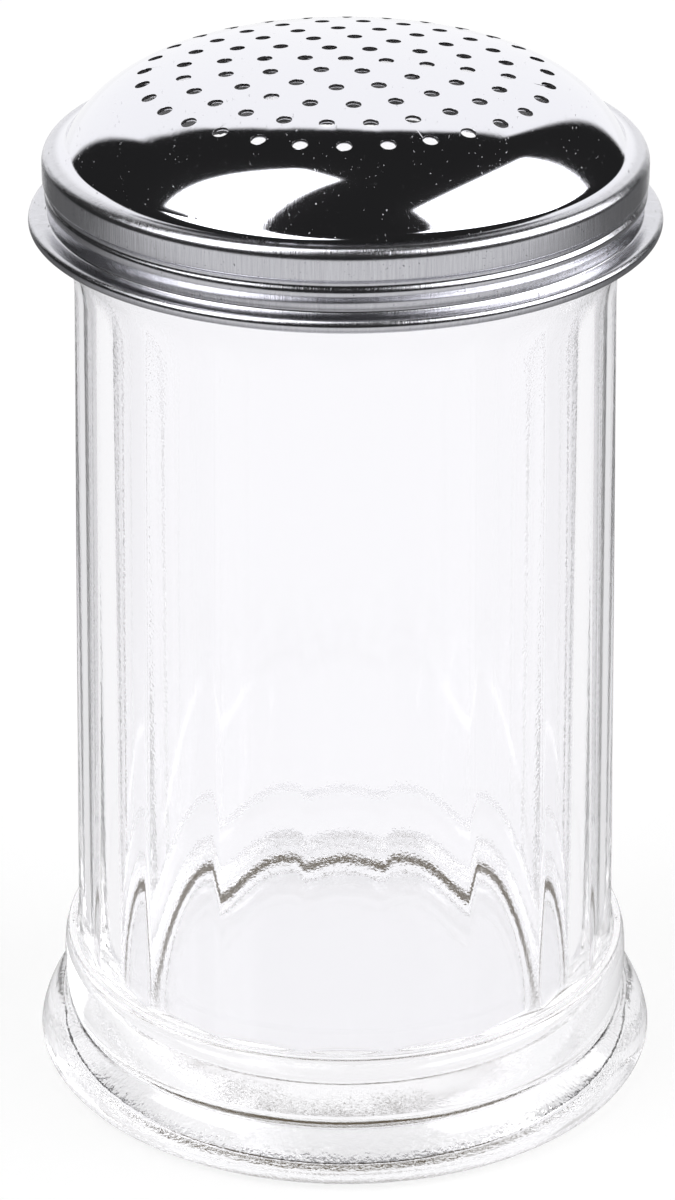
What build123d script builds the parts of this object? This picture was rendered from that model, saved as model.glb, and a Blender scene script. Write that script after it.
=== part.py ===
from build123d import *
import os
from math import asin, atan, atan2, cos, degrees, radians, sin, sqrt

# Table shaker: a pressed-glass jar with fluted sides, and a one-piece stainless
# lid that screws onto its neck. The lid's dome is pierced with rings of holes.
# Frame: millimetres, +Z up, origin at the centre of the jar's foot, on the table.

# ---------------------------------------------------------------- jar: outside
foot_radius = 41.8            # widest point of the flared foot
foot_heel_round = 1.9         # rounding from the table up to the widest point
foot_swell = 0.7              # the flare is rounded out this far
crease_radius = 37.9          # groove between the foot and the band above it
crease_height = 8.0
band_height = 9.0             # from the crease up to the ledge under the flutes
band_swell = 0.4              # the band is rounded out this far
band_top_round = 0.7
body_height = 96.6            # from that ledge up to the foot of the neck
body_foot_radius = 36.7       # over the ridges between flutes, at the ledge
neck_step = 1.2               # the body's top is this far inside the neck
neck_step_height = 3.2        # height of the soft slope out to the neck

# ----------------------------------------------------------------- jar: flutes
flute_count = 20
flute_depth = 0.75            # below the ridges, along the middle of a flute
flute_hollow_radius = 30.0
flute_foot_round = 0.8        # the flutes end sharply at the ledge
flute_top_round = 8.0         # and run out softly under the neck
flute_foot_gap = 0.3          # plain strip between the ledge and the flutes
flute_top_gap = 0.5           # plain strip between the flutes and the neck

# ------------------------------------------------------ jar: neck, mouth, inside
neck_radius = 35.9            # plain land that carries the thread
neck_height = 14.0            # from the top of the body up to the rim of the mouth
rim_round = 1.2
rim_wall = 3.7                # glass at the rim, between the neck and the bore
base_wall = 3.9               # glass at the ledge, between the body and the bore
floor_height = 9.4            # thickness of the heavy base
floor_round = 6.4
standing_ring_radius = 35.0   # the underside is dished inside this ring
dish_height = 1.6
dish_slope_width = 4.0

# --------------------------------------------------------------- lid: pressing
sheet = 0.4                   # thickness of the stainless sheet
seat_gap = 0.15               # from the jar's rim to the underside of the lid
crown_radius = 132.7          # the nearly flat middle of the dome
shoulder_share = 0.51         # radius of the shoulder's curve, over the dome's radius
dome_edge_slope = 58.0        # steepest slope of the dome, in degrees
dome_fillet = 1.9             # hollow between the dome and the rolled bead
bead_top_round = 1.55
bead_proud = 0.58             # the bead stands out this far beyond the skirt
bead_face = 2.1               # upright face of the bead
groove_depth = 0.55           # groove rolled in below the bead
groove_height = 1.8
thread_proud = 0.35           # crest of the rolled thread, beyond the skirt
thread_run_out = 1.5          # height of the slope from that crest to the skirt
thread_room = 1.6             # from the jar's neck out to the face of the skirt
skirt_foot = 0.9              # plain skirt between the thread and the rim
rim_corner_round = 0.35       # hollow between the skirt and the rim
rim_slope = 4.0               # the rim droops outwards, in degrees
rim_width = 2.5               # the curled rim reaches this far beyond the skirt
curl_round = 0.85
curl_return = 0.7             # the edge of the sheet is folded back this far

# ------------------------------------------------------------------ lid: holes
hole_diameter = 1.9
hole_ring_count = 5           # rings of 6, 12, 18... holes round the middle one
hole_pitch = 5.06             # from ring to ring
hole_turn = 53.6              # direction of each ring's first hole, in degrees

# ------------------------------------------------------------ sizes worked out
ledge_height = crease_height + band_height
body_top_height = ledge_height + body_height
jar_height = body_top_height + neck_height
flute_foot_height = ledge_height + flute_foot_gap
flute_top_height = body_top_height - flute_top_gap
# A roller with a rounded end lifts off the wall this far before that end.
flute_run_out = flute_top_round - sqrt(flute_top_round**2 - (flute_top_round - flute_depth) ** 2)
roller_length = flute_top_height + flute_run_out - flute_foot_height
roller_middle_height = flute_foot_height + roller_length / 2
body_top_radius = neck_radius - neck_step
body_taper = (body_foot_radius - body_top_radius) / body_height
body_middle_radius = body_foot_radius - body_taper * (roller_middle_height - ledge_height)
body_lean = degrees(atan(body_taper))
mouth_radius = neck_radius - rim_wall
bore_foot_radius = body_foot_radius - base_wall

skirt_radius = neck_radius + thread_room
rim_radius = skirt_radius + rim_width
bead_radius = skirt_radius + bead_proud
# The crown turns into the shoulder where it has to, for the dome to end inside the bead.
dome_radius = bead_radius - bead_top_round - dome_fillet * sin(radians(dome_edge_slope))
shoulder_radius = shoulder_share * dome_radius
shoulder_reach = dome_radius - shoulder_radius * sin(radians(dome_edge_slope))
crown_slope = degrees(asin(shoulder_reach / (crown_radius - shoulder_radius)))
ledge_top = jar_height + seat_gap + sheet     # top of the lid's ledge, over the rim
fillet_rise = dome_fillet * (1 - cos(radians(dome_edge_slope)))
shoulder_rise = shoulder_radius * (cos(radians(crown_slope)) - cos(radians(dome_edge_slope)))
crown_rise = crown_radius * (1 - cos(radians(crown_slope)))
lid_height = ledge_top + fillet_rise + shoulder_rise + crown_rise


def s_bend(start, step, drop):
    """Two arcs that move a wall sideways by step while it goes down by drop."""
    turn = 2 * degrees(atan2(abs(step), drop))
    radius = drop / (2 * sin(radians(turn)))
    side = 1 if step > 0 else -1
    first = JernArc(start, (0, -1), radius, side * turn)
    second = JernArc(first @ 1, first % 1, radius, -side * turn)
    return second @ 1


# The flute's cutter is a long roller with rounded ends, laid along the tapered side.
with BuildPart() as flute_roller:
    Cylinder(flute_hollow_radius, roller_length)
    roller_ends = flute_roller.edges().filter_by(GeomType.CIRCLE).sort_by(Axis.Z)
    fillet(roller_ends[0], flute_foot_round)
    fillet(roller_ends[-1], flute_top_round)

# The jar is one pressing: a body of revolution with a row of flutes round it.
with BuildPart() as glass_jar:
    with BuildSketch(Plane.XZ):
        with BuildLine():
            heel = (foot_radius - foot_heel_round, 0)
            foot_edge = (foot_radius, foot_heel_round)
            crease = (crease_radius, crease_height)
            band_top = (crease_radius, ledge_height)
            neck_foot = (neck_radius, body_top_height + neck_step_height)
            Polyline(
                (0, jar_height),
                (0, dish_height),
                (standing_ring_radius - dish_slope_width, dish_height),
                (standing_ring_radius, 0),
                heel,
            )
            RadiusArc(heel, foot_edge, -foot_heel_round)
            SagittaArc(foot_edge, crease, -foot_swell)
            SagittaArc(crease, band_top, -band_swell)
            Polyline(
                band_top,
                (body_foot_radius, ledge_height),
                (body_top_radius, body_top_height),
                neck_foot,
                (neck_radius, jar_height),
                (0, jar_height),
            )
        make_face()
    revolve(axis=Axis.Z)
    with BuildSketch(Plane.XZ) as bore_section:
        with BuildLine():
            Polyline(
                (0, floor_height),
                (bore_foot_radius, floor_height),
                (mouth_radius, jar_height),
                (0, jar_height),
                close=True,
            )
        make_face()
        fillet(bore_section.vertices().group_by(Axis.Y)[0].sort_by(Axis.X)[-1], floor_round)
    revolve(axis=Axis.Z, mode=Mode.SUBTRACT)
    round_edges = glass_jar.edges().filter_by(GeomType.CIRCLE)
    ledge_edges = round_edges.filter_by_position(Axis.Z, ledge_height, ledge_height)
    fillet(ledge_edges.sort_by(SortBy.RADIUS)[-1], band_top_round)
    fillet(glass_jar.edges().filter_by(GeomType.CIRCLE).group_by(Axis.Z)[-1], rim_round)
    with PolarLocations(0, flute_count):
        roller_face = (body_middle_radius - flute_depth, 0, roller_middle_height)
        with Locations(Location(roller_face, (0, -body_lean, 0))):
            with Locations((flute_hollow_radius, 0, 0)):
                add(flute_roller.part, mode=Mode.SUBTRACT)
glass_jar.part.label = "glass_jar"

# The lid is one pressing of even thickness, drawn along its outer face from the
# middle of the dome out to the edge that is curled under, then pierced.
with BuildPart() as shaker_lid:
    with BuildSketch(Plane.XZ):
        with BuildLine():
            crown = JernArc((0, lid_height), (1, 0), crown_radius, -crown_slope)
            shoulder = JernArc(crown @ 1, crown % 1, shoulder_radius, crown_slope - dome_edge_slope)
            hollow = JernArc(shoulder @ 1, shoulder % 1, dome_fillet, dome_edge_slope)
            bead_top = JernArc(hollow @ 1, hollow % 1, bead_top_round, -90)
            bead_side = Line(bead_top @ 1, bead_top @ 1 + (0, -bead_face))
            groove_foot = s_bend(bead_side @ 1, -groove_depth, groove_height / 2)
            crest_step = skirt_radius + thread_proud - groove_foot.X
            crest = s_bend(groove_foot, crest_step, groove_height / 2)
            thread_foot = s_bend(crest, -thread_proud, thread_run_out)
            skirt = Line(thread_foot, thread_foot + (0, -skirt_foot))
            corner = JernArc(skirt @ 1, (0, -1), rim_corner_round, 90 - rim_slope)
            curl_turn = 180 - rim_slope
            rim_reach = rim_radius - curl_round - (corner @ 1).X + curl_round * sin(radians(rim_slope))
            rim_top = Line(corner @ 1, corner @ 1 + (corner % 1) * rim_reach)
            curl = JernArc(rim_top @ 1, rim_top % 1, curl_round, -curl_turn)
            Line(curl @ 1, curl @ 1 + (curl % 1) * curl_return)
            offset(amount=sheet, side=Side.RIGHT)
        make_face()
    revolve(axis=Axis.Z)
    with BuildSketch(Plane.XY.offset(lid_height)):
        for ring in range(hole_ring_count + 1):
            with PolarLocations(ring * hole_pitch, max(1, 6 * ring), start_angle=hole_turn):
                Circle(hole_diameter / 2)
    extrude(amount=-(shoulder_rise + crown_rise), mode=Mode.SUBTRACT)
shaker_lid.part.label = "shaker_lid"

os.makedirs("parts", exist_ok=True)
export_step(glass_jar.part, "parts/glass_jar.step")
export_step(shaker_lid.part, "parts/shaker_lid.step")
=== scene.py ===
from math import asin, atan2, cos, degrees, pi, radians, sin, sqrt, tan
from types import SimpleNamespace

import bmesh
import bpy
import numpy as np
from mathutils import Matrix, Vector


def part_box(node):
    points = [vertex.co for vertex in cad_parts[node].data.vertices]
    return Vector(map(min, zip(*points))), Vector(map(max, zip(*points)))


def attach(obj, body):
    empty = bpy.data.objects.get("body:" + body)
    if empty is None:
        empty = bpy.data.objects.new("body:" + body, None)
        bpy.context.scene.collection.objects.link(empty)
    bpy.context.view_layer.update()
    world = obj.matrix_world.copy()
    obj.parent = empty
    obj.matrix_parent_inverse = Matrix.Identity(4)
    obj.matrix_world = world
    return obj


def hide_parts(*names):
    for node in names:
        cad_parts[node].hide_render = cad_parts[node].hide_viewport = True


# Table shaker: a pressed-glass jar with fluted sides and a pierced stainless lid.
# Outlines are written in millimetres, as radius and height, and made metres at the end.
MM = 0.001

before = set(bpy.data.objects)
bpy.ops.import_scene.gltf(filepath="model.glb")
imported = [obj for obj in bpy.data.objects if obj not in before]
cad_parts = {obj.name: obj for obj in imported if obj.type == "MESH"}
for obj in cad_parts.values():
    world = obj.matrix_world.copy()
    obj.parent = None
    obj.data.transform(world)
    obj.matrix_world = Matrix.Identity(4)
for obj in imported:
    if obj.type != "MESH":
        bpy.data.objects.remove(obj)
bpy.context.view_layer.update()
jar_box = [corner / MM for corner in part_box("glass_jar")]
lid_box = [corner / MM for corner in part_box("shaker_lid")]

# ------------------------------------------------------------------ sizes: jar
foot_radius = (jar_box[1].y - jar_box[0].y) / 2
jar_height = jar_box[1].z
heel_round = 1.9
flare_bulge = 0.7
crease_radius, crease_height = 37.9, 8.0
band_bulge = 0.4
ledge_height = 17.0
ledge_round, ledge_foot_round = 0.7, 0.2
body_foot_radius, body_top_radius = 36.7, 34.7
body_top_height = 113.6
straight_rows_end = 1.2       # the body's straight rows end this far under the flutes' top
body_bend_round, neck_bend_round = 6.0, 5.0
flute_count = 20
flute_depth = 0.75
flute_hollow = 30.0
flute_foot_height, flute_top_height = 17.3, 113.1
flute_foot_round, flute_top_round = 0.8, 8.0
ridge_round = 1.8
neck_radius = 35.9
neck_foot_height = 116.8
rim_round = 1.2
mouth_radius, bore_foot_radius = 32.2, 32.8
floor_height, floor_round = 9.4, 6.4
standing_radius, standing_round = 35.0, 1.5
dish_height, dish_slope_width, dish_round = 1.6, 4.0, 4.0
wall_middle_radius = mouth_radius + 1.5     # outside this radius lies the jar's outer face
# Where rows of the outline start and end: past the flutes' foot, above the neck's foot and
# below the rim, down the bore from the rim and above the floor, and across the floor.
foot_rows_past = 0.4
neck_rows_above, neck_rows_below = 1.0, 1.5
bore_rows_below, bore_rows_above = 2.5, 12.0
floor_rows_radius = 20.0

# ------------------------------------------------------------------ sizes: lid
lid_height = lid_box[1].z
rim_radius = (lid_box[1].y - lid_box[0].y) / 2
sheet = 0.4
crown_curve, crown_edge_radius = 132.7, 22.888
shoulder_curve = 17.809
dome_edge_slope = 58.0
hollow_round = 1.9
bead_round = 1.55
bead_face = 2.1
groove_depth, groove_height = 0.55, 1.8
thread_proud, thread_run_out = 0.35, 1.5
skirt_radius = 37.5
skirt_foot_height = 120.3
rim_corner_round = 0.35
rim_slope = 4.0
curl_round = 0.85
curl_return = 0.7
hole_radius = 0.95
hole_rings = 5
hole_pitch = 5.06
hole_turn = 53.6
hole_edge_round = 0.06
crown_cut_radius = 27.2       # the pierced middle of the dome ends here

THREAD_PITCH = 2.6
LID_SEGMENTS = 320
JAR_SEGMENTS = 400
HOLE_SIDES = 24
HOLE_ROWS = 6
DOME_SIZES = ("Top", "Crown Curve", "Shoulder Curve", "Crown Edge")


# --------------------------------------------------------------- outline tools
class Pen:
    """Draws a lathe outline as radius and height, by straight runs and tangent arcs."""

    def __init__(self, radius, height, heading):
        self.at = Vector((radius, height))
        self.heading = heading
        self.points = [self.at.copy()]
        self.headings = [heading]

    def run(self, length, steps=1):
        way = Vector((cos(radians(self.heading)), sin(radians(self.heading))))
        start = self.at.copy()
        for i in range(1, steps + 1):
            self.points.append(start + way * length * i / steps)
            self.headings.append(self.heading)
        self.at = self.points[-1].copy()

    def bend(self, curve, turn, steps=8):
        """An arc of that radius that turns the heading; a positive turn is to the left."""
        side = 1 if turn > 0 else -1
        lean = radians(self.heading + 90 * side)
        centre = self.at + Vector((cos(lean), sin(lean))) * curve
        arm = self.at - centre
        for i in range(1, steps + 1):
            self.points.append(centre + Matrix.Rotation(radians(turn * i / steps), 2) @ arm)
            self.headings.append(self.heading + turn * i / steps)
        self.at = self.points[-1].copy()
        self.heading += turn

    def s_bend(self, step, drop):
        """Two arcs that move a falling wall sideways by step while it drops."""
        turn = 2 * degrees(atan2(abs(step), drop))
        curve = drop / (2 * sin(radians(turn)))
        side = 1 if step > 0 else -1
        self.bend(curve, side * turn, 5)
        self.bend(curve, -side * turn, 5)


def line(start, end, steps=1):
    """Points from start to end, without the last."""
    a, b = Vector(start), Vector(end)
    return [a.lerp(b, i / steps) for i in range(steps)]


def bow(start, end, bulge, steps=10):
    """Points along an arc that stands out to the right by bulge, without the last."""
    a, b = Vector(start), Vector(end)
    chord = (b - a).length
    curve = (chord ** 2 / 4 + bulge ** 2) / (2 * bulge)
    along = (b - a).normalized()
    out = Vector((along.y, -along.x))
    centre = (a + b) / 2 - out * (curve - bulge)
    half = asin(chord / 2 / curve)
    turns = (half * (2 * i / steps - 1) for i in range(steps))
    return [centre + out * curve * cos(t) + along * curve * sin(t) for t in turns]


def round_corner(before, corner, after, curve, steps=6):
    """The arc that replaces a corner between two straight runs."""
    a, b, c = Vector(before), Vector(corner), Vector(after)
    u, v = (a - b).normalized(), (c - b).normalized()
    half = u.angle(v) / 2
    reach = curve / tan(half)
    middle = b + (u + v).normalized() * curve / sin(half)
    first, last = b + u * reach - middle, b + v * reach - middle
    turn = first.angle_signed(last)
    return [middle + Matrix.Rotation(-turn * i / steps, 2) @ first for i in range(steps + 1)]


def lathe(name, outline, segments, closed=True):
    """Turns an outline round the Z axis. The mesh is in metres and its faces point out."""
    mesh = bmesh.new()
    angles = [2 * pi * i / segments for i in range(segments)]
    rings = []
    for point in outline:
        radius, height = point.x * MM, point.y * MM
        if radius < 1e-7:
            rings.append([mesh.verts.new((0, 0, height))])
        else:
            places = [(radius * cos(a), radius * sin(a), height) for a in angles]
            rings.append([mesh.verts.new(place) for place in places])
    following = rings[1:] + rings[:1] if closed else rings[1:]
    for lower, upper in zip(rings, following):
        for i in range(segments):
            j = (i + 1) % segments
            square = ((lower, i), (lower, j), (upper, j), (upper, i))
            # On the axis a ring is one point, so the square there is a triangle.
            corners = list(dict.fromkeys(ring[k % len(ring)] for ring, k in square))
            if len(corners) > 2:
                mesh.faces.new(corners)
    bmesh.ops.recalc_face_normals(mesh, faces=mesh.faces)
    if mesh.calc_volume(signed=True) < 0:
        bmesh.ops.reverse_faces(mesh, faces=mesh.faces)
    data = bpy.data.meshes.new(name)
    mesh.to_mesh(data)
    mesh.free()
    data.shade_smooth()
    piece = bpy.data.objects.new(name, data)
    bpy.context.scene.collection.objects.link(piece)
    return piece


# -------------------------------------------------------------- node shorthand
def add_node(tree, kind, links=None, **settings):
    """One node. Settings are its own properties; links are sockets or plain values by input."""
    made = tree.nodes.new(kind)
    for key, value in settings.items():
        setattr(made, key, value)
    for key, value in (links or {}).items():
        socket = made.inputs[key]
        if isinstance(value, bpy.types.NodeSocket):
            tree.links.new(value, socket)
        else:
            socket.default_value = value
    return made


def maths(tree, operation, *values, clamp=False):
    made = add_node(tree, "ShaderNodeMath", dict(enumerate(values)), operation=operation)
    made.use_clamp = clamp
    return made.outputs["Value"]


def times(tree, *values):
    """The product of all the values."""
    made = values[0]
    for value in values[1:]:
        made = maths(tree, "MULTIPLY", made, value)
    return made


def third_side(tree, longest, other):
    """The third side of a right-angled triangle."""
    squares = [maths(tree, "POWER", side, 2.0) for side in (longest, other)]
    return maths(tree, "SQRT", maths(tree, "SUBTRACT", *squares))


def vector_maths(tree, operation, *values):
    made = add_node(tree, "ShaderNodeVectorMath", dict(enumerate(values)), operation=operation)
    return made.outputs["Value" if operation in ("DOT_PRODUCT", "LENGTH") else "Vector"]


def scaled(tree, vector, share):
    links = {0: vector, "Scale": share}
    return add_node(tree, "ShaderNodeVectorMath", links, operation="SCALE").outputs["Vector"]


def combine(tree, x, y, z=0.0):
    return add_node(tree, "ShaderNodeCombineXYZ", {"X": x, "Y": y, "Z": z}).outputs[0]


def split(tree, vector):
    return add_node(tree, "ShaderNodeSeparateXYZ", {0: vector}).outputs


def map_range(tree, value, start, end, low=0.0, high=1.0, curve="LINEAR"):
    """Goes from low to high while value goes from start to end, and stays level beyond."""
    links = {"Value": value, "From Min": start, "From Max": end, "To Min": low, "To Max": high}
    return add_node(tree, "ShaderNodeMapRange", links, interpolation_type=curve).outputs["Result"]


def mix(tree, share, a, b, kind="FLOAT"):
    links = {"Factor": share, "A": a, "B": b}
    return add_node(tree, "ShaderNodeMix", links, data_type=kind).outputs["Result"]


# ------------------------------------------------------------- geometry: common
def new_geometry_tree(name, sizes):
    """A geometry tree with a mesh in and out, and one named input for each size."""
    tree = bpy.data.node_groups.new(name, "GeometryNodeTree")
    tree.interface.new_socket("Geometry", in_out="INPUT", socket_type="NodeSocketGeometry")
    for label, value in sizes.items():
        kind = "NodeSocketInt" if isinstance(value, int) else "NodeSocketFloat"
        tree.interface.new_socket(label, in_out="INPUT", socket_type=kind)
    tree.interface.new_socket("Material", in_out="INPUT", socket_type="NodeSocketMaterial")
    tree.interface.new_socket("Geometry", in_out="OUTPUT", socket_type="NodeSocketGeometry")
    return tree, tree.nodes.new("NodeGroupInput").outputs, tree.nodes.new("NodeGroupOutput").inputs


def close_tree(tree, geometry, material, out):
    whole = add_node(tree, "GeometryNodeRealizeInstances", {0: geometry}).outputs[0]
    links = {"Geometry": whole, "Material": material}
    tree.links.new(add_node(tree, "GeometryNodeSetMaterial", links).outputs[0], out[0])


def shape_by(piece, tree, sizes, material):
    """Runs a geometry tree on a piece with these sizes, and keeps the result as a plain mesh."""
    modifier = piece.modifiers.new(tree.name, "NODES")
    modifier.node_group = tree
    for socket in tree.interface.items_tree:
        if socket.in_out == "INPUT" and socket.name in sizes:
            modifier[socket.identifier] = sizes[socket.name]
        elif socket.in_out == "INPUT" and socket.name == "Material":
            modifier[socket.identifier] = material
    bpy.context.view_layer.update()
    shaped = piece.evaluated_get(bpy.context.evaluated_depsgraph_get())
    baked = bpy.data.meshes.new_from_object(shaped)
    piece.modifiers.remove(modifier)
    old = piece.data
    piece.data = baked
    bpy.data.meshes.remove(old)


def polar(tree):
    """Where each point is: its radius, its angle, its height, and its place at height 0."""
    place = add_node(tree, "GeometryNodeInputPosition").outputs[0]
    xyz = split(tree, place)
    flat = vector_maths(tree, "MULTIPLY", place, (1, 1, 0))
    return SimpleNamespace(
        x=xyz["X"], y=xyz["Y"], height=xyz["Z"], flat=flat,
        radius=vector_maths(tree, "LENGTH", flat),
        angle=maths(tree, "ARCTAN2", xyz["Y"], xyz["X"]),
    )


def push_out(tree, geometry, at, distance):
    """Moves points straight out from the axis by distance."""
    share = maths(tree, "DIVIDE", distance, maths(tree, "MAXIMUM", at.radius, 1e-6))
    links = {"Geometry": geometry, "Offset": scaled(tree, at.flat, share)}
    return add_node(tree, "GeometryNodeSetPosition", links).outputs[0]


# ------------------------------------------------------------- geometry: flutes
def flute_tree(sizes):
    """Presses a row of long hollows into a wall, as a round-ended roller would."""
    tree, given, out = new_geometry_tree("pressed flutes", sizes)
    at = polar(tree)
    hollow = given["Hollow Radius"]
    off_middle = maths(tree, "PINGPONG", at.angle, maths(tree, "DIVIDE", pi, given["Flute Count"]))
    # The roller's face at this angle: its middle lies on a circle of radius "reach".
    reach = maths(tree, "ADD", at.radius, maths(tree, "SUBTRACT", hollow, given["Flute Depth"]))
    across = times(tree, reach, maths(tree, "SINE", off_middle))
    along = times(tree, reach, maths(tree, "COSINE", off_middle))
    pressed = maths(tree, "SUBTRACT", along, third_side(tree, hollow, across))
    # Its rounded ends lift it off the wall.
    above_foot = maths(tree, "SUBTRACT", at.height, given["Foot Height"])
    below_top = maths(tree, "SUBTRACT", given["Top Height"], at.height)
    for gone, curve in ((above_foot, given["Foot Round"]), (below_top, given["Top Round"])):
        short = maths(tree, "SUBTRACT", curve, maths(tree, "MINIMUM", gone, curve))
        short = maths(tree, "MINIMUM", short, curve)
        lift = maths(tree, "SUBTRACT", curve, third_side(tree, curve, short))
        pressed = maths(tree, "ADD", pressed, lift)
    softened = maths(tree, "SMOOTH_MIN", at.radius, pressed, given["Ridge Round"])
    outside = maths(tree, "GREATER_THAN", at.radius, given["Wall Radius"])
    between = maths(tree, "GREATER_THAN", maths(tree, "MINIMUM", above_foot, below_top), 0.0)
    shift = times(tree, maths(tree, "SUBTRACT", softened, at.radius), outside, between)
    close_tree(tree, push_out(tree, given["Geometry"], at, shift), given["Material"], out)
    return tree


# ------------------------------------------------------------- geometry: thread
def thread_tree(sizes):
    """Raises a helical ridge with run-outs at both ends. The angles are in radians."""
    tree, given, out = new_geometry_tree("rolled thread", sizes)
    at = polar(tree)
    total = 0.0
    for turn in range(-1, 3):
        phase = maths(tree, "ADD", at.angle, 2 * pi * turn)
        gone = maths(tree, "SUBTRACT", phase, given["First Angle"])
        left = maths(tree, "SUBTRACT", given["Sweep"], gone)
        rise = times(tree, maths(tree, "DIVIDE", gone, 2 * pi), given["Pitch"])
        crest = maths(tree, "ADD", given["First Height"], rise)
        off = maths(tree, "ABSOLUTE", maths(tree, "SUBTRACT", at.height, crest))
        share = maths(tree, "DIVIDE", off, given["Half Width"])
        hump = map_range(tree, share, 1.0, 0.0, curve="SMOOTHERSTEP")
        ends = maths(tree, "MINIMUM", gone, left)
        fade = map_range(tree, ends, 0.0, given["Run Out"], curve="SMOOTHSTEP")
        total = maths(tree, "MAXIMUM", total, times(tree, hump, fade))
    outside = maths(tree, "GREATER_THAN", at.radius, given["Wall Radius"])
    shift = times(tree, total, given["Proud"], outside)
    close_tree(tree, push_out(tree, given["Geometry"], at, shift), given["Material"], out)
    return tree


# -------------------------------------------------------------- geometry: holes
def dome_height_tree():
    """The height of the dome's face at a radius: a flat crown that turns into a shoulder."""
    tree = bpy.data.node_groups.new("dome height", "GeometryNodeTree")
    for label in ("Radius", "Inset", *DOME_SIZES):
        tree.interface.new_socket(label, in_out="INPUT", socket_type="NodeSocketFloat")
    tree.interface.new_socket("Height", in_out="OUTPUT", socket_type="NodeSocketFloat")
    given, out = tree.nodes.new("NodeGroupInput").outputs, tree.nodes.new("NodeGroupOutput").inputs
    crown, shoulder = given["Crown Curve"], given["Shoulder Curve"]
    sine = maths(tree, "DIVIDE", given["Crown Edge"], crown)
    cosine = third_side(tree, 1.0, sine)
    crown_middle = maths(tree, "SUBTRACT", given["Top"], crown)
    between = maths(tree, "SUBTRACT", crown, shoulder)
    shoulder_aside = times(tree, between, sine)
    shoulder_middle = maths(tree, "MULTIPLY_ADD", between, cosine, crown_middle)
    heights = []
    for curve, aside, middle in (
        (crown, 0.0, crown_middle),
        (shoulder, shoulder_aside, shoulder_middle),
    ):
        face = maths(tree, "SUBTRACT", curve, given["Inset"])
        off = maths(tree, "SUBTRACT", given["Radius"], aside)
        heights.append(maths(tree, "ADD", middle, third_side(tree, face, off)))
    edge = times(tree, sine, maths(tree, "SUBTRACT", crown, given["Inset"]))
    past_edge = maths(tree, "GREATER_THAN", given["Radius"], edge)
    tree.links.new(mix(tree, past_edge, *heights), out["Height"])
    return tree


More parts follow.
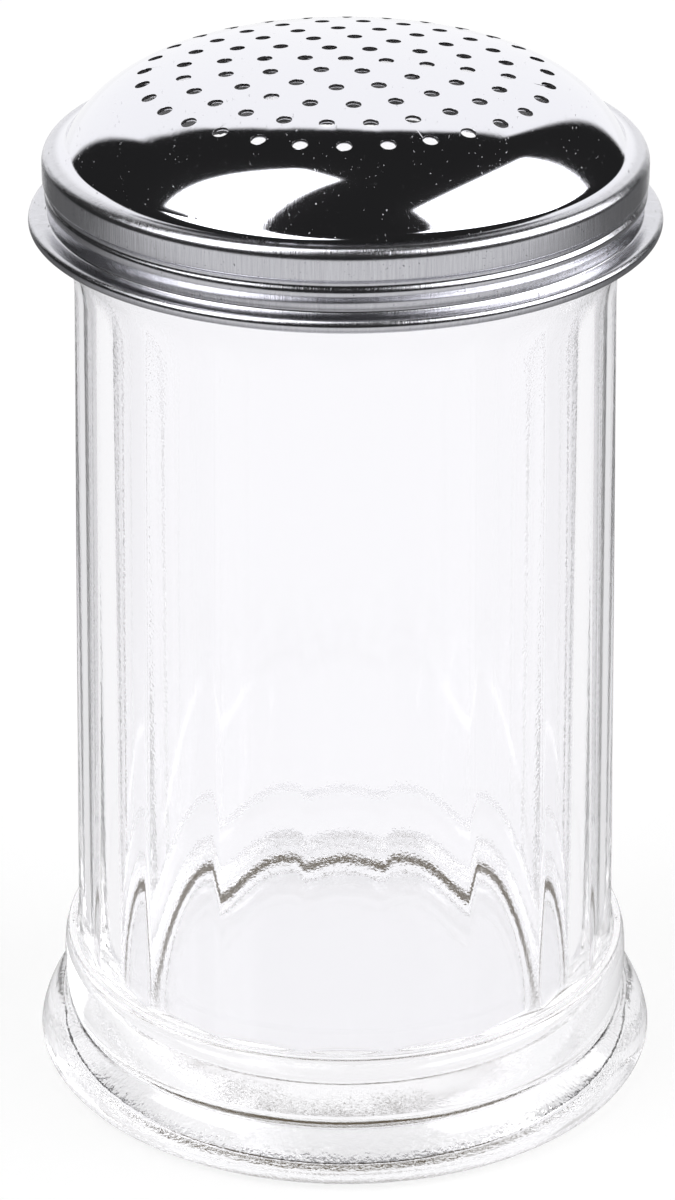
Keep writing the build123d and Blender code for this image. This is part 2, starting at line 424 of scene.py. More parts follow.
def pierced_tree(sizes):
    """Closes a lid's open middle with a domed crown, pierced by a middle hole and rings of
    6, 12, 18... holes. The edge of each hole is rolled in a little from outside."""
    tree, given, out = new_geometry_tree("pierced crown", sizes)
    dome = dome_height_tree()

    def dome_height(radius, inset):
        links = {label: given[label] for label in DOME_SIZES}
        links.update({"Radius": radius, "Inset": inset})
        return add_node(tree, "GeometryNodeGroup", links, node_tree=dome).outputs[0]

    def steepness(radius):
        """How far the dome falls for each unit outwards."""
        little = MM / 100
        further = dome_height(maths(tree, "ADD", radius, little), 0.0)
        fall = maths(tree, "SUBTRACT", dome_height(radius, 0.0), further)
        return maths(tree, "DIVIDE", fall, little)

    def ringed_places():
        """Hole i is in ring k, the least k with 3k(k + 1) >= i, which starts at
        i = 1 + 3k(k - 1). Gives the places and the turns that square a hole to the dome."""
        rings = given["Ring Count"]
        last = times(tree, rings, maths(tree, "ADD", rings, 1.0), 3.0)
        index = add_node(tree, "GeometryNodeInputIndex").outputs[0]
        root = maths(tree, "SQRT", maths(tree, "MULTIPLY_ADD", index, 12.0, 9.0))
        # 3.001 in place of 3 keeps rounding from moving a ring's last hole into the next ring.
        ring = maths(tree, "DIVIDE", maths(tree, "SUBTRACT", root, 3.001), 6.0)
        ring = maths(tree, "CEIL", ring)
        first = times(tree, ring, maths(tree, "SUBTRACT", ring, 1.0), 3.0)
        first = maths(tree, "ADD", first, 1.0)
        in_ring = maths(tree, "MAXIMUM", times(tree, ring, 6.0), 1.0)
        share = maths(tree, "DIVIDE", maths(tree, "SUBTRACT", index, first), in_ring)
        angle = maths(tree, "MULTIPLY_ADD", share, 2 * pi, given["Turn"])
        cosine, sine = maths(tree, "COSINE", angle), maths(tree, "SINE", angle)
        radius = times(tree, ring, given["Ring Pitch"])
        slope = steepness(radius)
        spot = combine(
            tree, times(tree, radius, cosine), times(tree, radius, sine), dome_height(radius, 0.0))
        normal = combine(tree, times(tree, slope, cosine), times(tree, slope, sine), 1.0)
        links = {"Count": maths(tree, "ADD", last, 1.0), "Position": spot}
        points = add_node(tree, "GeometryNodePoints", links).outputs[0]
        links = {"Vector": normal}
        square = add_node(tree, "FunctionNodeAlignRotationToVector", links, axis="Z")
        return points, square.outputs[0]

    def hole_wall():
        """A quarter round at the surface, then straight through the sheet. The attribute
        "sunk" goes from 0 at the surface to 1 at the far side."""
        links = {"Vertices": HOLE_SIDES, "Side Segments": HOLE_ROWS, "Radius": 1.0, "Depth": 1.0}
        tube = add_node(tree, "GeometryNodeMeshCylinder", links, fill_type="NONE").outputs[0]
        at = polar(tree)
        sunk = maths(tree, "SUBTRACT", 0.5, at.height)
        links = {"Geometry": tube, "Name": "sunk", "Value": sunk}
        marked = add_node(tree, "GeometryNodeStoreNamedAttribute", links).outputs[0]
        quarter = pi / 2
        turned = times(tree, sunk, quarter * HOLE_ROWS / (HOLE_ROWS - 1))
        turned = maths(tree, "MINIMUM", turned, quarter)
        spread = maths(tree, "SUBTRACT", 1.0, maths(tree, "SINE", turned))
        spread = maths(tree, "MULTIPLY_ADD", spread, given["Edge Round"], given["Hole Radius"])
        rounded = maths(tree, "SUBTRACT", 1.0, maths(tree, "COSINE", turned))
        rounded = times(tree, rounded, given["Edge Round"])
        far_side = maths(tree, "GREATER_THAN", sunk, 0.999)
        depth = mix(tree, far_side, rounded, given["Sheet"])
        wide = split(tree, scaled(tree, at.flat, spread))
        shaped = combine(tree, wide["X"], wide["Y"], times(tree, depth, -1.0))
        links = {"Geometry": marked, "Position": shaped}
        wall = add_node(tree, "GeometryNodeSetPosition", links).outputs[0]
        return add_node(tree, "GeometryNodeFlipFaces", {0: wall}).outputs[0]

    def onto_dome(geometry, inset, selection=True):
        at = polar(tree)
        dropped = combine(tree, at.x, at.y, dome_height(at.radius, inset))
        links = {"Geometry": geometry, "Position": dropped, "Selection": selection}
        return add_node(tree, "GeometryNodeSetPosition", links).outputs[0]

    points, square = ringed_places()
    links = {"Points": points, "Instance": hole_wall(), "Rotation": square}
    placed = add_node(tree, "GeometryNodeInstanceOnPoints", links).outputs[0]
    walls = add_node(tree, "GeometryNodeRealizeInstances", {0: placed}).outputs[0]
    whole = add_node(tree, "GeometryNodeJoinGeometry", {0: given["Geometry"]})
    outer_face = (0.0, 0.0, given["Outer Edge"])
    inner_face = (1.0, given["Sheet"], given["Inner Edge"])
    for side, inset, edge in (outer_face, inner_face):
        sunk = add_node(tree, "GeometryNodeInputNamedAttribute", {"Name": "sunk"}).outputs[0]
        at_rim = maths(tree, "COMPARE", sunk, side, 0.001)
        links = {0: walls, "Selection": at_rim}
        rims = add_node(tree, "GeometryNodeMeshToCurve", links).outputs[0]
        links = {"Resolution": LID_SEGMENTS, "Radius": edge}
        circle = add_node(tree, "GeometryNodeCurvePrimitiveCircle", links).outputs[0]
        bounds = add_node(tree, "GeometryNodeJoinGeometry", {0: rims})
        tree.links.new(circle, bounds.inputs[0])
        links = {0: bounds.outputs[0]}
        face = add_node(tree, "GeometryNodeFillCurve", links, mode="TRIANGLES").outputs[0]
        face = onto_dome(face, inset)
        if side == 1.0:
            face = add_node(tree, "GeometryNodeFlipFaces", {0: face}).outputs[0]
        tree.links.new(face, whole.inputs[0])
        walls = onto_dome(walls, inset, at_rim)
    tree.links.new(walls, whole.inputs[0])
    links = {0: whole.outputs[0], "Distance": MM / 200}
    merged = add_node(tree, "GeometryNodeMergeByDistance", links).outputs[0]
    close_tree(tree, merged, given["Material"], out)
    return tree


# -------------------------------------------------------------------- the stage
CAMERA_PLACE = (0, -0.48638, 0.29747)
CAMERA_DOWN, CAMERA_TURN = 25.578, 0.12     # degrees
LENS, SENSOR = 122.67, 36                   # millimetres
FLOOR_HALF, FLOOR_HEIGHT = 3.0, -0.0002     # metres; the floor lies just under the jar

# Corners are azimuth and elevation in degrees; then the softness of the edges and the level.
PANELS = {
    "backdrop, left": ([(-34, -20), (-44, 36), (-34, 42), (6, 37), (6, -20)], 0.02, 1.05),
    "backdrop, right": ([(-8, -20), (-8, 36.5), (33, 45.5), (30, -20)], 0.02, 1.05),
    "left softbox": ([(-137, 88), (-44, 77), (-82, 58), (-95, 32), (-140, 36)], 0.025, 4.0),
    "right softbox": (
        [(57, 46), (67, 11), (100, 22), (138, 34), (140, 57), (100, 60)], 0.025, 4.0),
}
DARK_LEVEL = 0.016
GROUND_TOP, GROUND_SOFT = 40.0, 8.0         # elevation and softness, in degrees
GLASS_FILL = (0.1, 0.075, 0.04, 1)          # what the glass sees where the studio is dark
WHITE = (1, 1, 1, 1)

# The level of the floor's plain white, and the share of it that shows over the lit paper,
# seen directly and through glass.
FLOOR_WHITE = 1.05
FLOOR_GLOW, FLOOR_GLOW_THROUGH = 0.8, 0.9
# The floor's levels in the metal's reflections. It goes from the front's to the side's
# between these two Y.
FRONT_FLOOR, SIDE_FLOOR, BACK_FLOOR = 0.78, 0.14, 1.0
DIM_FROM, DIM_TO = -0.2, 0.1
# The backdrop's foot starts this far behind the object and widens by this share of the
# distance each way, with edges this soft.
BACK_START, BACK_WIDENS, BACK_SOFT = 0.1, 0.65, 0.03


def build_camera():
    """The camera, in the object's frame."""
    lens = bpy.data.cameras.new("camera")
    lens.sensor_fit = "AUTO"
    lens.sensor_width = SENSOR
    lens.lens = LENS
    lens.clip_end = 9
    camera = bpy.data.objects.new("camera", lens)
    bpy.context.scene.collection.objects.link(camera)
    camera.location = CAMERA_PLACE
    camera.rotation_euler = (radians(90 - CAMERA_DOWN), 0, radians(CAMERA_TURN))
    bpy.context.scene.camera = camera


def build_floor(material):
    data = bpy.data.meshes.new("floor")
    corners = [
        (x * FLOOR_HALF, y * FLOOR_HALF, FLOOR_HEIGHT)
        for x, y in ((-1, -1), (1, -1), (1, 1), (-1, 1))
    ]
    data.from_pydata(corners, [], [(0, 1, 2, 3)])
    floor = bpy.data.objects.new("floor", data)
    bpy.context.scene.collection.objects.link(floor)
    data.materials.append(material)


def toward(azimuth, elevation):
    """A direction: azimuth 0 is behind the object, 90 is its right side."""
    a, e = radians(azimuth), radians(elevation)
    return Vector((sin(a) * cos(e), cos(a) * cos(e), sin(e)))


def soft_panel(tree, direction, corners, softness):
    """How much a direction falls inside a panel with straight sides and soft edges."""
    ways = [toward(*corner) for corner in corners]
    middle = sum(ways, Vector())
    mask = 1.0
    for a, b in zip(ways, ways[1:] + ways[:1]):
        side = a.cross(b).normalized()
        if side.dot(middle) < 0:
            side.negate()
        off = vector_maths(tree, "DOT_PRODUCT", direction, side)
        edge = map_range(tree, off, -softness, softness, curve="SMOOTHSTEP")
        mask = times(tree, mask, edge)
    return mask


def mix_shaders(tree, share, first, second):
    return add_node(tree, "ShaderNodeMixShader", {0: share, 1: first, 2: second}).outputs[0]


def build_world():
    """A dark studio with a pale backdrop and two softboxes. The camera sees plain white, and
    glass sees white ground all round the object and a dark brown where the studio is dark."""
    world = bpy.data.worlds.new("studio")
    bpy.context.scene.world = world
    world.use_nodes = True
    tree = world.node_tree
    tree.nodes.clear()

    def light(colour, strength):
        links = {"Color": colour, "Strength": strength}
        return add_node(tree, "ShaderNodeBackground", links).outputs[0]

    direction = add_node(tree, "ShaderNodeTexCoord").outputs["Generated"]
    level = DARK_LEVEL
    for corners, softness, strength in PANELS.values():
        lit = times(tree, soft_panel(tree, direction, corners, softness), strength)
        level = maths(tree, "MAXIMUM", level, lit)
    top, bottom = (sin(radians(GROUND_TOP + soft)) for soft in (GROUND_SOFT, -GROUND_SOFT))
    ground = map_range(tree, split(tree, direction)["Z"], top, bottom)
    share = maths(tree, "MAXIMUM", maths(tree, "MINIMUM", level, 1.0), ground)
    filled = mix(tree, share, GLASS_FILL, WHITE, "RGBA")
    through = light(filled, maths(tree, "MAXIMUM", level, 1.0))
    ray = add_node(tree, "ShaderNodeLightPath").outputs
    shown = mix_shaders(tree, ray["Is Transmission Ray"], light(WHITE, level), through)
    shown = mix_shaders(tree, ray["Is Camera Ray"], shown, light(WHITE, 1.0))
    add_node(tree, "ShaderNodeOutputWorld", {"Surface": shown})


def let_light_through_glass():
    """Lets light cross the many walls of thick pressed glass before it is given up as black."""
    paths = bpy.context.scene.cycles
    paths.max_bounces = paths.transmission_bounces = 32
    paths.glossy_bounces = 24


# ----------------------------------------------------------------- the finishes
GLASS_COLOUR = (0.965, 0.962, 0.978, 1)
# Heights in metres, and then the scale per metre and the detail of the noise of each.
GLASS_UNEVEN = {"Waves": 3e-5, "Mottle": 1.5e-6, "Orange Peel": 5e-6, "Ring": 2.5e-4}
GLASS_NOISE = {
    "Waves": (90.0, 1.0),
    "Mottle": (520.0, 2.0),
    "Orange Peel": (2600.0, 1.0),
    "Ring": (1300.0, 2.0),
}
WAVE_STRETCH = 0.35                         # the waves are drawn out up and down the wall
# The foot waves more below these heights, and the neck has more orange peel above those.
FOOT_WAVES, FOOT_WAVES_FROM, FOOT_WAVES_TO = 2.5, 19.0, 14.0
NECK_PEEL, NECK_PEEL_FROM, NECK_PEEL_TO = 3.5, 98.0, 110.0
# The rough ring on the underside: the heel, and much less on the dish's slope.
RING_TOP = 1.8
HEEL_MIDDLE, HEEL_HALF = 40.5, 2.0
SLOPE_MIDDLE, SLOPE_HALF, SLOPE_SHARE = 33.5, 3.0, 0.12

SATIN_START, SATIN_END = 35.7, 36.7         # the polish gives way to satin between these radii
POLISHED_ROUGH, SATIN_ROUGH, INSIDE_ROUGH = 0.06, 0.22, 0.45
HAIRLINE_ROUGH, SPECK_ROUGH = 0.35, 0.5
POLISHED_TONE, SATIN_TONE = 0.83, 0.68
STREAK_TONE, MARK_TONE = 0.25, 0.4          # how much grain and marks change the satin's tone
STEEL_BLUE = 1.06
# Painted shade: the near-black colour painted on the inner face and the hole walls, where little
# light reaches.
PAINTED_SHADE_INSIDE = (0.06, 0.058, 0.06, 1)
FACING_IN, UPRIGHT = -1e-4, 0.7             # limits that tell the inner face and the hole walls
GRAIN = {"Fineness": 240.0, "Length": 200.0}
SCRATCHES = {"Scale": 220.0, "Amount": 0.5}
WORN_SCALE, WORN_FROM, WORN_TO = 45.0, 0.45, 0.65
POLISHED_RELIEF, WORN_RELIEF, SATIN_RELIEF = 0.8e-6, 4e-6, 3e-5

# Turns in radians, and the scale of the noise along the hairline against that across it.
HAIRLINES = ((0.35, 0.1), (1.2, 0.16), (1.9, 0.12), (2.6, 0.1))
# Noise over the cut shows as a hairline, and only in patches. Specks sit in finer cells.
HAIR_FINENESS, HAIR_CUT, HAIR_CUT_LESS, HAIR_SOFT = 14.0, 0.79, 0.15, 0.06
PATCH_FROM, PATCH_TO = 0.5, 0.62
SPECK_FINENESS, SPECK_EDGE, SPECK_CORE, SPECK_CHANCE = 4.0, 0.11, 0.04, 0.8


def new_material(name):
    material = bpy.data.materials.new(name)
    material.use_nodes = True
    tree = material.node_tree
    tree.nodes.clear()
    shader = add_node(tree, "ShaderNodeBsdfPrincipled")
    add_node(tree, "ShaderNodeOutputMaterial", {"Surface": shader.outputs[0]})
    return material, tree, shader


def floor_paper():
    """White paper that shows as a plain white ground, with part of the object's shadow kept.
    The metal sees it greyer in front of the object and beside it than behind it."""
    material, tree, shader = new_material("pale_paper")
    shader.inputs["Base Color"].default_value = (0.9, 0.9, 0.9, 1)
    shader.inputs["Roughness"].default_value = 0.9
    ray = add_node(tree, "ShaderNodeLightPath").outputs
    through = ray["Is Transmission Ray"]
    # A ray that has gone through clear glass counts as glossy too.
    glossy = maths(tree, "SUBTRACT", ray["Is Glossy Ray"], through, clamp=True)
    place = split(tree, add_node(tree, "ShaderNodeTexCoord").outputs["Object"])
    front = map_range(tree, place["Y"], DIM_FROM, DIM_TO, FRONT_FLOOR, SIDE_FLOOR)
    # The backdrop's foot lies between two lines that spread out behind the object.
    width = maths(tree, "MULTIPLY_ADD", place["Y"], BACK_WIDENS, -BACK_WIDENS * BACK_START)
    spare = maths(tree, "SUBTRACT", width, maths(tree, "ABSOLUTE", place["X"]))
    behind = map_range(tree, spare, -BACK_SOFT, BACK_SOFT)
    level = mix(tree, behind, front, BACK_FLOOR)
    links = {"Color": WHITE, "Strength": mix(tree, glossy, FLOOR_WHITE, level)}
    white = add_node(tree, "ShaderNodeEmission", links).outputs[0]
    seen = maths(tree, "MAXIMUM", ray["Is Camera Ray"], through)
    share = times(tree, seen, mix(tree, through, FLOOR_GLOW, FLOOR_GLOW_THROUGH))
    share = maths(tree, "MAXIMUM", share, glossy)
    shown = mix_shaders(tree, share, shader.outputs[0], white)
    tree.links.new(shown, tree.nodes["Material Output"].inputs["Surface"])
    return material


def noise(tree, vector, scale, detail, roughness=0.5):
    links = {"Vector": vector, "Scale": scale, "Detail": detail, "Roughness": roughness}
    return add_node(tree, "ShaderNodeTexNoise", links).outputs[0]


def mapped(tree, vector, scale, turn=0.0):
    links = {"Vector": vector, "Rotation": (0, 0, turn), "Scale": scale}
    return add_node(tree, "ShaderNodeMapping", links).outputs[0]


def new_effect(name, given, made):
    """A shader node group with these float inputs beside its Vector, and these outputs."""
    tree = bpy.data.node_groups.new(name, "ShaderNodeTree")
    tree.interface.new_socket("Vector", in_out="INPUT", socket_type="NodeSocketVector")
    for label in given:
        tree.interface.new_socket(label, in_out="INPUT", socket_type="NodeSocketFloat")
    for label in made:
        tree.interface.new_socket(label, in_out="OUTPUT", socket_type="NodeSocketFloat")
    return tree, tree.nodes.new("NodeGroupInput").outputs, tree.nodes.new("NodeGroupOutput").inputs


def place_effect(tree, effect, vector, values):
    """Places an effect in a material, with that material's own values."""
    links = {"Vector": vector, **values}
    return add_node(tree, "ShaderNodeGroup", links, node_tree=effect).outputs


def add_relief(tree, height, shader):
    """Turns a height in metres into the shader's normal."""
    bump = add_node(tree, "ShaderNodeBump", {"Strength": 1.0, "Distance": 1.0, "Height": height})
    tree.links.new(bump.outputs[0], shader.inputs["Normal"])


def around(tree, vector):
    """Where a point is: its radius, its height, its place at height 0, and the unit way out."""
    xyz = split(tree, vector)
    flat = combine(tree, xyz["X"], xyz["Y"])
    return SimpleNamespace(
        radius=vector_maths(tree, "LENGTH", flat), height=xyz["Z"], flat=flat,
        way=vector_maths(tree, "NORMALIZE", flat),
    )


def grain_effect():
    """Fine lines that run straight out from the axis over a turned surface, and down its sides.
    Fineness sets how many lines there are, and Length how soon each one fades, per metre."""
    tree, given, out = new_effect("brushed grain", ("Fineness", "Length"), ("Lines",))
    at = around(tree, given["Vector"])
    side = split(tree, scaled(tree, at.way, given["Fineness"]))
    down = times(tree, maths(tree, "SUBTRACT", at.radius, at.height), given["Length"])
    spot = combine(tree, side["X"], side["Y"], down)
    tree.links.new(noise(tree, spot, 1.0, 3.0, 0.6), out["Lines"])
    return tree


def scratch_effect():
    """Short hairline scratches in four directions, and small specks."""
    given, made = ("Scale", "Amount"), ("Scratches", "Specks")
    tree, given, out = new_effect("hairline scratches", given, made)
    fine = times(tree, given["Scale"], HAIR_FINENESS)
    low = maths(tree, "SUBTRACT", HAIR_CUT, times(tree, given["Amount"], HAIR_CUT_LESS))
    high = maths(tree, "ADD", low, HAIR_SOFT)
    total = 0.0
    for turn, stretch in HAIRLINES:
        drawn = mapped(tree, given["Vector"], (1, stretch, 1), turn)
        hair = map_range(tree, noise(tree, drawn, fine, 1.0), low, high)
        patch = noise(tree, drawn, given["Scale"], 1.0)
        patch = map_range(tree, patch, PATCH_FROM, PATCH_TO)
        total = maths(tree, "MAXIMUM", total, times(tree, hair, patch))
    links = {"Vector": given["Vector"], "Scale": times(tree, given["Scale"], SPECK_FINENESS)}
    cells = add_node(tree, "ShaderNodeTexVoronoi", links).outputs
    near = map_range(tree, cells["Distance"], SPECK_EDGE, SPECK_CORE)
    # One cell in five has a speck.
    chance = add_node(tree, "ShaderNodeSeparateColor", {0: cells["Color"]}).outputs[0]
    speck = times(tree, near, maths(tree, "GREATER_THAN", chance, SPECK_CHANCE))
    tree.links.new(total, out["Scratches"])
    tree.links.new(speck, out["Specks"])
    return tree


def uneven_effect():
    """The soft waves and finer mottling of pressed glass, as heights in metres. The foot waves
    more, the neck has more orange peel, and the ring that the jar stands on is rough."""
    tree, given, out = new_effect("uneven glass", GLASS_UNEVEN, ("Height",))
    vector = given["Vector"]
    at = around(tree, vector)
    foot = map_range(
        tree, at.height, FOOT_WAVES_FROM * MM, FOOT_WAVES_TO * MM, 1.0, FOOT_WAVES)
    neck = map_range(tree, at.height, NECK_PEEL_FROM * MM, NECK_PEEL_TO * MM, 1.0, NECK_PEEL)
    heel = maths(tree, "COMPARE", at.radius, HEEL_MIDDLE * MM, HEEL_HALF * MM)
    slope = maths(tree, "COMPARE", at.radius, SLOPE_MIDDLE * MM, SLOPE_HALF * MM)
    ring = maths(tree, "MULTIPLY_ADD", slope, SLOPE_SHARE, heel)
    ring = times(tree, ring, maths(tree, "LESS_THAN", at.height, RING_TOP * MM))
    total = 0.0
    for label, where, share in (
        ("Waves", mapped(tree, vector, (1, 1, WAVE_STRETCH)), foot),
        ("Mottle", vector, 1.0),
        ("Orange Peel", vector, neck),
        ("Ring", vector, ring),
    ):
        lift = times(tree, noise(tree, where, *GLASS_NOISE[label]), given[label], share)
        total = maths(tree, "ADD", total, lift)
    tree.links.new(total, out["Height"])
    return tree


def clear_glass():
    material, tree, shader = new_material("clear_pressed_glass")
    shader.inputs["Base Color"].default_value = GLASS_COLOUR
    shader.inputs["Roughness"].default_value = 0.0
    shader.inputs["IOR"].default_value = 1.5
    shader.inputs["Transmission Weight"].default_value = 1.0
    place = add_node(tree, "ShaderNodeTexCoord").outputs["Object"]
    uneven = place_effect(tree, uneven_effect(), place, GLASS_UNEVEN)
    add_relief(tree, uneven["Height"], shader)
    return material


def stainless():
    """Stainless sheet: a polished dome, satin below it, and a rougher inside whose inner face and
    hole walls are painted near-black as painted shade.
    """
    material, tree, shader = new_material("polished_stainless")
    shader.inputs["Metallic"].default_value = 1.0
    texture = add_node(tree, "ShaderNodeTexCoord").outputs
    place, normal = texture["Object"], texture["Normal"]
    at = around(tree, place)
    satin = map_range(tree, at.radius, SATIN_START * MM, SATIN_END * MM, curve="SMOOTHSTEP")
    facing = vector_maths(tree, "DOT_PRODUCT", normal, at.flat)
    inside = maths(tree, "LESS_THAN", facing, FACING_IN)
    # The walls of the holes stand upright in the flat middle of the dome.
    level = maths(tree, "ABSOLUTE", split(tree, normal)["Z"])
    middle = maths(tree, "LESS_THAN", at.radius, crown_cut_radius * MM)
    punched = times(tree, maths(tree, "LESS_THAN", level, UPRIGHT), middle)
    inside = maths(tree, "MAXIMUM", inside, punched)
    lines = place_effect(tree, grain_effect(), place, GRAIN)["Lines"]
    marks = place_effect(tree, scratch_effect(), place, SCRATCHES)
    hairlines, specks = marks["Scratches"], marks["Specks"]

    rough = maths(
        tree, "MAXIMUM", times(tree, hairlines, HAIRLINE_ROUGH), times(tree, specks, SPECK_ROUGH))
    rough = times(tree, rough, maths(tree, "SUBTRACT", 1.0, satin))
    rough = maths(tree, "ADD", mix(tree, satin, POLISHED_ROUGH, SATIN_ROUGH), rough)
    rough = maths(tree, "MAXIMUM", rough, times(tree, inside, INSIDE_ROUGH))
    tree.links.new(rough, shader.inputs["Roughness"])

    streaks = times(tree, maths(tree, "SUBTRACT", lines, 0.5), satin)
    dulled = times(tree, maths(tree, "MAXIMUM", hairlines, specks), satin)
    tone = mix(tree, satin, POLISHED_TONE, SATIN_TONE)
    tone = maths(tree, "MULTIPLY_ADD", streaks, STREAK_TONE, tone)
    tone = maths(tree, "MULTIPLY_ADD", dulled, -MARK_TONE, tone)
    links = {0: tone, 1: tone, 2: times(tree, tone, STEEL_BLUE)}
    steel = add_node(tree, "ShaderNodeCombineColor", links).outputs[0]
    # Painted shade: the inner face and the hole walls take a near-black colour in place of the
    # steel's own.
    colour = mix(tree, inside, steel, PAINTED_SHADE_INSIDE, "RGBA")
    tree.links.new(colour, shader.inputs["Base Color"])

    worn = noise(tree, place, WORN_SCALE, 1.0)
    worn = map_range(tree, worn, WORN_FROM, WORN_TO, POLISHED_RELIEF, WORN_RELIEF)
    add_relief(tree, times(tree, lines, mix(tree, satin, worn, SATIN_RELIEF)), shader)
    return material


# -------------------------------------------------------------------- the pieces
def jar_outline():
    """The jar's section, from the middle of the dished underside, up the outside, over the
    rim and down the bore to the middle of the floor."""
    heel = (foot_radius - heel_round, 0)
    widest = (foot_radius, heel_round)
    crease = (crease_radius, crease_height)
    ledge_edge = (crease_radius, ledge_height)
    body_foot = (body_foot_radius, ledge_height)
    taper = (body_foot_radius - body_top_radius) / (body_top_height - ledge_height)
    body_top = (body_top_radius, body_top_height)
    neck_foot = (neck_radius, neck_foot_height)
    rim_outer = (neck_radius, jar_height)
    rim_inner = (mouth_radius, jar_height)
    bore_foot = (bore_foot_radius, floor_height)
    floor_middle = (0, floor_height)
    ring_edge = (standing_radius, 0)
    dish_edge = (standing_radius - dish_slope_width, dish_height)
    dish_middle = (0, dish_height)

    def on_body(height):
        return (body_foot_radius - taper * (height - ledge_height), height)

    points = line(dish_middle, dish_edge, 10)[:-1]
    points += round_corner(dish_middle, dish_edge, ring_edge, dish_round)
    points += round_corner(dish_edge, ring_edge, heel, standing_round)
    points += [Vector(heel)]
    points += bow(heel, widest, heel_round * (1 - cos(radians(45))), 8)[1:]
    points += bow(widest, crease, flare_bulge, 12)[:-1]
    points += [Vector(crease)]
    points += bow(crease, ledge_edge, band_bulge, 12)[1:-1]
    points += round_corner(crease, ledge_edge, body_foot, ledge_round)
    points += round_corner(ledge_edge, body_foot, body_top, ledge_foot_round)
    # The rows lie closer together where the flutes run out.
    foot_rows = on_body(flute_foot_height + flute_foot_round + foot_rows_past)
    top_rows = on_body(flute_top_height - flute_top_round)
    last_row = on_body(flute_top_height - straight_rows_end)
    points += line(on_body(flute_foot_height), foot_rows, 8)
    points += line(foot_rows, top_rows, 20)
    points += line(top_rows, last_row, 16)
    points += round_corner(last_row, body_top, neck_foot, body_bend_round)
    points += round_corner(body_top, neck_foot, rim_outer, neck_bend_round)
    # Close rows carry the thread.
    neck_start = (neck_radius, neck_foot_height + neck_rows_above)
    points += line(neck_start, (neck_radius, jar_height - neck_rows_below), 36)
    points += round_corner(neck_foot, rim_outer, rim_inner, rim_round)
    points += round_corner(rim_outer, rim_inner, bore_foot, rim_round)
    bore_start = (mouth_radius, jar_height - bore_rows_below)
    points += line(bore_start, (bore_foot_radius, floor_height + bore_rows_above), 8)
    points += round_corner(rim_inner, bore_foot, floor_middle, floor_round, 14)
    points += line((floor_rows_radius, floor_height), floor_middle, 6)
    return points + [Vector(floor_middle)]


def build_jar(glass):
    jar = lathe("jar", jar_outline(), JAR_SEGMENTS)
    # The roller's rounded end lifts off the wall this far before its own end.
    run_out = flute_top_round - sqrt(flute_top_round ** 2 - (flute_top_round - flute_depth) ** 2)
    flutes = {
        "Flute Count": flute_count,
        "Flute Depth": flute_depth * MM,
        "Hollow Radius": flute_hollow * MM,
        "Foot Height": flute_foot_height * MM,
        "Top Height": (flute_top_height + run_out) * MM,
        "Foot Round": flute_foot_round * MM,
        "Top Round": flute_top_round * MM,
        "Ridge Round": ridge_round * MM,
        "Wall Radius": wall_middle_radius * MM,
    }
    thread = {
        "Pitch": THREAD_PITCH * MM,
        "First Angle": radians(60),
        "First Height": 119.3 * MM,
        "Sweep": radians(430),
        "Run Out": radians(25),
        "Proud": 0.7 * MM,
        "Half Width": 0.9 * MM,
        "Wall Radius": wall_middle_radius * MM,
    }
    shape_by(jar, flute_tree(flutes), flutes, glass)
    shape_by(jar, thread_tree(thread), thread, glass)
    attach(jar, "jar")
    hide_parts("glass_jar")


def dome_middles():
    """The middles of the crown's curve and of the shoulder's, as radius and height."""
    slope = asin(crown_edge_radius / crown_curve)
    crown_middle = lid_height - crown_curve
    between = crown_curve - shoulder_curve
    return (0.0, crown_middle), (between * sin(slope), crown_middle + between * cos(slope))


def lid_faces():
    """The outlines of the pressing's two faces, from the pierced middle of the dome to the
    edge that is curled under."""
    shoulder_aside, shoulder_middle = dome_middles()[1]
    cut_slope = degrees(asin((crown_cut_radius - shoulder_aside) / shoulder_curve))
    cut_height = shoulder_middle + shoulder_curve * cos(radians(cut_slope))
    pen = Pen(crown_cut_radius, cut_height, -cut_slope)
    pen.bend(shoulder_curve, cut_slope - dome_edge_slope, 20)
    pen.bend(hollow_round, dome_edge_slope, 10)
    pen.bend(bead_round, -90, 10)
    pen.run(bead_face, 3)
    pen.s_bend(-groove_depth, groove_height / 2)
    pen.s_bend(skirt_radius + thread_proud - pen.at.x, groove_height / 2)
    pen.s_bend(-thread_proud, thread_run_out)
    pen.run(pen.at.y - skirt_foot_height, 4)
    pen.bend(rim_corner_round, 90 - rim_slope, 5)
    reach = rim_radius - curl_round + curl_round * sin(radians(rim_slope)) - pen.at.x
    pen.run(reach, 3)
    pen.bend(curl_round, rim_slope - 180, 14)
    pen.run(curl_return)
    inner = []
    for point, heading in zip(pen.points, pen.headings):
        inner.append(point + Vector((sin(radians(heading)), -cos(radians(heading)))) * sheet)
    return pen.points, inner


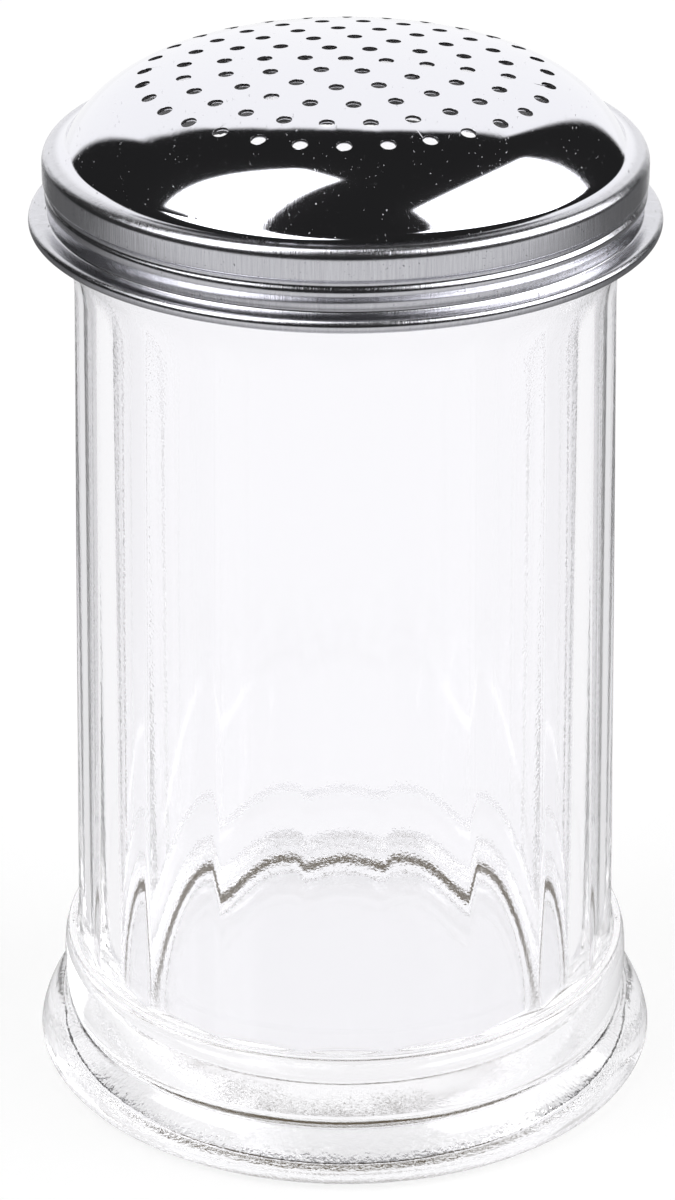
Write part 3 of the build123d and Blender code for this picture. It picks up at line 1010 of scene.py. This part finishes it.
def build_lid(steel):
    outer, inner = lid_faces()
    lid = lathe("lid", outer + inner[::-1], LID_SEGMENTS, closed=False)
    thread = {
        "Pitch": THREAD_PITCH * MM,
        "First Angle": radians(100),
        "First Height": 120.9 * MM,
        "Sweep": radians(400),
        "Run Out": radians(40),
        "Proud": 0.12 * MM,
        "Half Width": 1.2 * MM,
        "Wall Radius": 30 * MM,
    }
    holes = {
        "Ring Count": hole_rings,
        "Ring Pitch": hole_pitch * MM,
        "Turn": radians(hole_turn),
        "Hole Radius": hole_radius * MM,
        "Edge Round": hole_edge_round * MM,
        "Sheet": sheet * MM,
        "Outer Edge": outer[0].x * MM,
        "Inner Edge": inner[0].x * MM,
        "Top": lid_height * MM,
        "Crown Curve": crown_curve * MM,
        "Shoulder Curve": shoulder_curve * MM,
        "Crown Edge": crown_edge_radius * MM,
    }
    shape_by(lid, thread_tree(thread), thread, steel)
    shape_by(lid, pierced_tree(holes), holes, steel)
    smooth_dome(lid.data)
    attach(lid, "lid")
    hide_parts("shaker_lid")


def smooth_dome(mesh):
    """Gives the dome's two faces their true normals, so that its reflections are clean."""
    same_way = 0.995      # cosine over which a flat face belongs to the dome

    def read(items, attribute, kind=float, width=1):
        values = np.zeros(len(items) * width, kind)
        items.foreach_get(attribute, values)
        return values.reshape(-1, width) if width > 1 else values

    mesh.shade_smooth()
    crown, shoulder = (np.array(middle) * MM for middle in dome_middles())
    shoulder_end = shoulder[0] + shoulder_curve * sin(radians(dome_edge_slope)) * MM
    corner = read(mesh.loops, "vertex_index", np.int32)
    place = read(mesh.vertices, "co", width=3)[corner]
    radius = np.hypot(place[:, 0], place[:, 1])
    on_crown = radius < crown_edge_radius * MM
    across = radius - np.where(on_crown, crown[0], shoulder[0])
    up = place[:, 2] - np.where(on_crown, crown[1], shoulder[1])
    out = place[:, :2] / (radius + 1e-12)[:, None]
    true = np.column_stack([out * across[:, None], up])
    true /= np.linalg.norm(true, axis=1)[:, None]
    flat = read(mesh.polygons, "normal", width=3)
    flat = np.repeat(flat, read(mesh.polygons, "loop_total", np.int32), axis=0)
    along = (flat * true).sum(1)
    on_face = (np.abs(along) > same_way) & (radius < shoulder_end) & (up > 0)
    normals = np.where(on_face[:, None], true * np.sign(along)[:, None], 0)
    mesh.normals_split_custom_set(normals.tolist())


build_camera()
bpy.context.scene.view_settings.view_transform = "Standard"
let_light_through_glass()
build_floor(floor_paper())
build_world()
build_jar(clear_glass())
build_lid(stainless())
